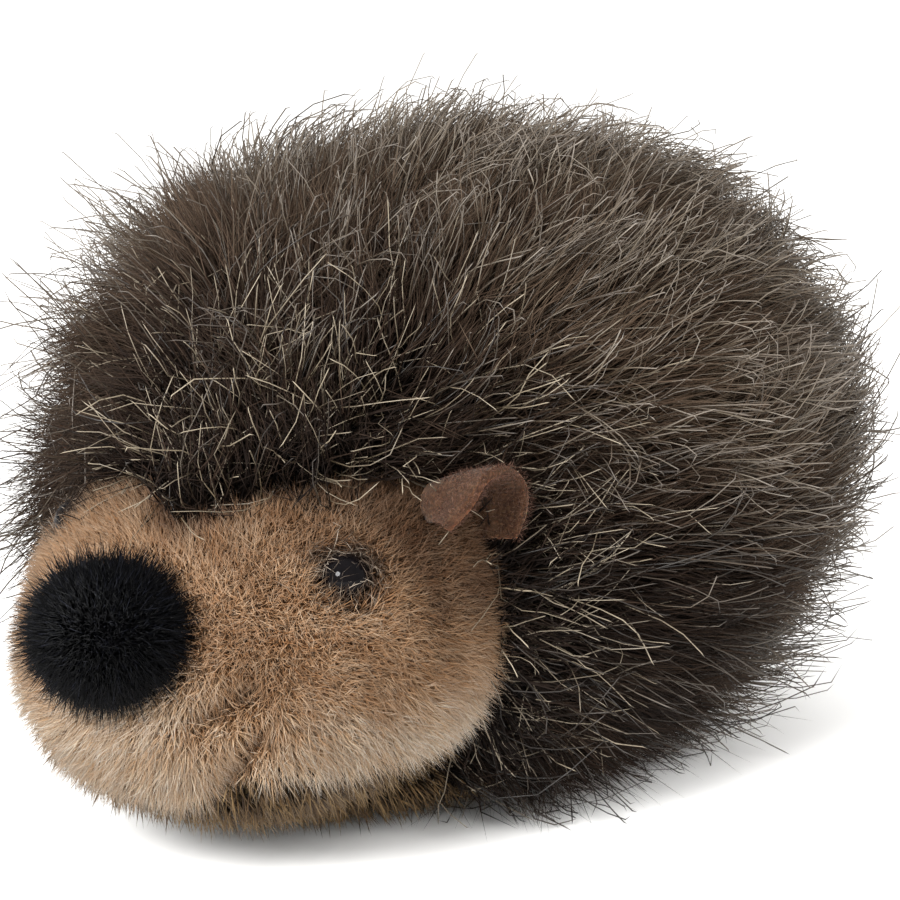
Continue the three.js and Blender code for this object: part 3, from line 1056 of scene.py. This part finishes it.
ear = {
    "middle": (0.0282, coatMiddleY - 0.0427, 0.0476), "halfWidth": 0.0053, "height": 0.0051,
    "thickness": 0.0013, "reach": 0.0066,
    "rootDepth": 0.55,  # how far the felt goes in through the pile, as a share of its reach
    "wrapFront": 1.72, "wrapRear": 2.36, "hang": 0.0058, "rimFront": 0.5, "rimRear": 0.26,
    "rimPower": 5, "flare": 1.3, "pinch": 0.88, "tilt": np.radians(2), "waviness": 0.00030,
    "flatWidth": 0.0222, "fuzz": 4000, "fuzzLength": 0.0009, "fuzzRadius": 0.00004,
    "fuzzRoot": 0.42,  # where a fibre starts, as a share of the felt's thickness
    "rows": 49, "columns": 22,
}


def feltMaterial():
    # pressed wool felt: matt, mauve brown, speckled with paler and darker fibres and softly uneven
    material, tree = newMaterial("pressedWoolFelt")
    speck, cloud = surfaceGrain(tree, 0.45, 4), surfaceGrain(tree, 3.5, 2)
    brown = {0.25: "#27180f", 0.75: "#593f2d", 0.5: "#3d291b"}
    fine = addNode(tree, "ValToRGB", {"Fac": speck}, stops=brown).outputs[0]
    broad = addNode(tree, "ValToRGB", {"Fac": cloud}, stops={0.3: "#d8ccc8", 0.7: "#ffffff"}).outputs[0]
    colour = addNode(tree, "Mix", {0: 1.0, 6: fine, 7: broad}, data_type="RGBA", blend_type="MULTIPLY")
    bump = addNode(tree, "Bump", {"Height": speck, "Distance": 0.0004, "Strength": 0.9})
    surface = addNode(tree, "BsdfPrincipled", {
        "Base Color": colour.outputs[2], "Normal": bump.outputs[0], "Roughness": 0.95,
        "Specular IOR Level": 0.1, "Sheen Weight": 0.05, "Subsurface Weight": 0.8,
        "Subsurface Radius": (1.0, 0.65, 0.5), "Subsurface Scale": 0.003})
    addNode(tree, "OutputMaterial", {"Surface": surface.outputs[0]})
    return material


def earSurface(across, along, side):
    # a fold of felt: a half round on top, whose flaps hang straight down in front and behind, and
    # whose rim reaches out less towards the lower corners of both flaps
    flare = mix(ear["pinch"], ear["flare"], along)
    angle = across * np.where(across < 0, ear["wrapFront"], ear["wrapRear"])
    arc = np.clip(angle, -np.pi / 2, np.pi / 2)
    rim = np.where(across < 0, ear["rimFront"], ear["rimRear"])
    x = side * ear["reach"] * along * (1 - rim * np.abs(across) ** ear["rimPower"])
    y = (ear["halfWidth"] * flare - ear["thickness"] / 2) * np.sin(arc)
    z = (ear["height"] * flare - ear["thickness"] / 2) * np.cos(arc) - ear["hang"] * np.abs(angle - arc)
    turn = -side * ear["tilt"]
    turned = np.stack([x * np.cos(turn) + z * np.sin(turn), y, -x * np.sin(turn) + z * np.cos(turn)], -1)
    place = turned + np.array(ear["middle"]) * np.array([side, 1, 1])
    return place + softNoise(place, 0.007, 31) * ear["waviness"]


def addEarFuzz(material):
    # loose wool fibres that stand a little off both faces of the felt and off its rim
    dice = np.random.default_rng(501)
    sets = []
    for side in (1, -1):
        across = dice.uniform(-1, 1, ear["fuzz"])
        along = np.minimum(1, dice.uniform(0.05, 1.12, ear["fuzz"]))
        here = earSurface(across, along, side)
        step = 1e-3
        over = earSurface(across + step, along, side) - here
        out = here - earSurface(across, along - step, side)
        face = unit(np.cross(over, out)) * dice.choice([-1, 1], ear["fuzz"])[:, None]
        rim = unit(out) * (along >= 1)[:, None]
        roots = here + face * ear["thickness"] * ear["fuzzRoot"] + rim * 0.0001
        way = unit(face * 0.45 + rim + dice.normal(size=(ear["fuzz"], 3)) * 0.6)
        length = ear["fuzzLength"] * dice.uniform(0.4, 1.2, (ear["fuzz"], 1))
        sets.append(np.stack([roots, roots + way * length], axis=1))
    paths = np.concatenate(sets)
    radii = ear["fuzzRadius"] * dice.uniform(0.7, 1.3, (len(paths), 1))
    addCoat("ear_fuzz", paths, radii, randomValues(dice, len(paths)), material, dice)


def addEars():
    material = feltMaterial()
    rows, columns = ear["rows"], ear["columns"]
    for name, side in (("left", 1), ("right", -1)):
        across, along = np.meshgrid(np.linspace(-1, 1, rows), np.linspace(-ear["rootDepth"], 1, columns),
                                    indexing="ij")
        points = earSurface(across, along, side).reshape(-1, 3)
        row, column = np.meshgrid(np.arange(rows - 1), np.arange(columns - 1), indexing="ij")
        a = row * columns + column
        b = a + columns
        quads = [np.stack([a, b, b + 1], -1), np.stack([a, b + 1, a + 1], -1)]
        faces = np.concatenate(quads).reshape(-1, 3)
        flap = meshPiece(f"felt_ear_{name}", points, faces if side > 0 else faces[:, ::-1], material)
        thick = flap.modifiers.new("felt", "SOLIDIFY")
        thick.thickness = ear["thickness"]
        thick.offset = 0
        soft = flap.modifiers.new("rim", "SUBSURF")
        soft.levels = soft.render_levels = 1
        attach(flap, "root")
        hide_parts(f"ear_{name}")


fuzzMaterial = pileMaterial(
    "looseWoolFibre",
    stops={0.0: "#3f2b22", 1.0: "#8a6f62"},
    tones={0.0: "#9a8a80", 1.0: "#ffffff"},
    tips={0.0: "#d8c8c0", 1.0: "#ffffff"},
    roughness=0.8, gloss=0.1)
addEars()
addEarFuzz(fuzzMaterial)
print("ears ready")


# floor, light and camera

studio = {
    "floor": "#f4f3f1", "floorHalf": 4.0, "world": 0.95,
    "azimuth": 36.4,  # the camera's, from straight ahead of the nose
    "elevation": 14.15, "distance": 0.4718, "lens": 136.8,
    "aim": (0.0027, 0.00295, -0.0017),  # from the middle of the toy's box
}


def floorMaterial():
    # matt white paper sweep, very slightly uneven
    material, tree = newMaterial("whitePaperSweep")
    whites = {0.2: "#f0efed", 0.8: studio["floor"]}
    colour = addNode(tree, "ValToRGB", {"Fac": surfaceGrain(tree, 60, 2)}, stops=whites).outputs[0]
    surface = addNode(tree, "BsdfPrincipled", {
        "Base Color": colour, "Roughness": 0.9, "Specular IOR Level": 0.1})
    addNode(tree, "OutputMaterial", {"Surface": surface.outputs[0]})
    return material


def addStudio():
    size = studio["floorHalf"]
    corners = np.array([[-size, -size, 0], [size, -size, 0], [size, size, 0], [-size, size, 0]])
    floor = meshPiece("floor", corners, np.array([[0, 1, 2], [0, 2, 3]]), floorMaterial())
    world = bpy.data.worlds.new("softRoom")
    world.use_nodes = True
    world.node_tree.nodes.clear()
    tree = world.node_tree
    room = addNode(tree, "Background", {"Color": "#ffffff", "Strength": studio["world"]})
    addNode(tree, "OutputWorld", {"Surface": room.outputs[0]})
    bpy.context.scene.world = world
    bpy.context.scene.view_settings.view_transform = "Standard"


def around(centre, azimuth, elevation, distance):
    # a place seen from the centre at an azimuth from -Y towards +X and an elevation
    a, e = np.radians(azimuth), np.radians(elevation)
    return centre + distance * np.array([np.sin(a) * np.cos(e), -np.cos(a) * np.cos(e), np.sin(e)])


def addLamp(name, centre, azimuth, elevation, distance, size, watts, mirrored=True):
    # a round soft lamp facing the centre, which glossy surfaces show only if it is mirrored
    lamp = bpy.data.lights.new(name, "AREA")
    lamp.shape = "DISK"
    lamp.size = size
    lamp.energy = watts
    holder = bpy.data.objects.new(name, lamp)
    place = around(centre, azimuth, elevation, distance)
    holder.location = place
    holder.rotation_euler = Vector(place - centre).to_track_quat("Z", "Y").to_euler()
    holder.visible_glossy = mirrored
    bpy.context.scene.collection.objects.link(holder)


addStudio()
toyMiddle = (np.array(cadLow) + np.array(cadHigh)) / 2
addLamp("key", toyMiddle, 4, 30, 0.9, 0.31, 16)
addLamp("fill", toyMiddle, 80, 32, 1.1, 0.8, 10, mirrored=False)
addLamp("top", toyMiddle, 200, 75, 1.0, 0.8, 3.6, mirrored=False)

camera = bpy.data.objects.new("camera", bpy.data.cameras.new("camera"))
camera.data.lens = studio["lens"]
aim = toyMiddle + np.array(studio["aim"])
eyePoint = around(aim, studio["azimuth"], studio["elevation"], studio["distance"])
camera.location = eyePoint
camera.rotation_euler = Vector(eyePoint - aim).to_track_quat("Z", "Y").to_euler()
bpy.context.scene.collection.objects.link(camera)
bpy.context.scene.camera = camera

print("scene ready")
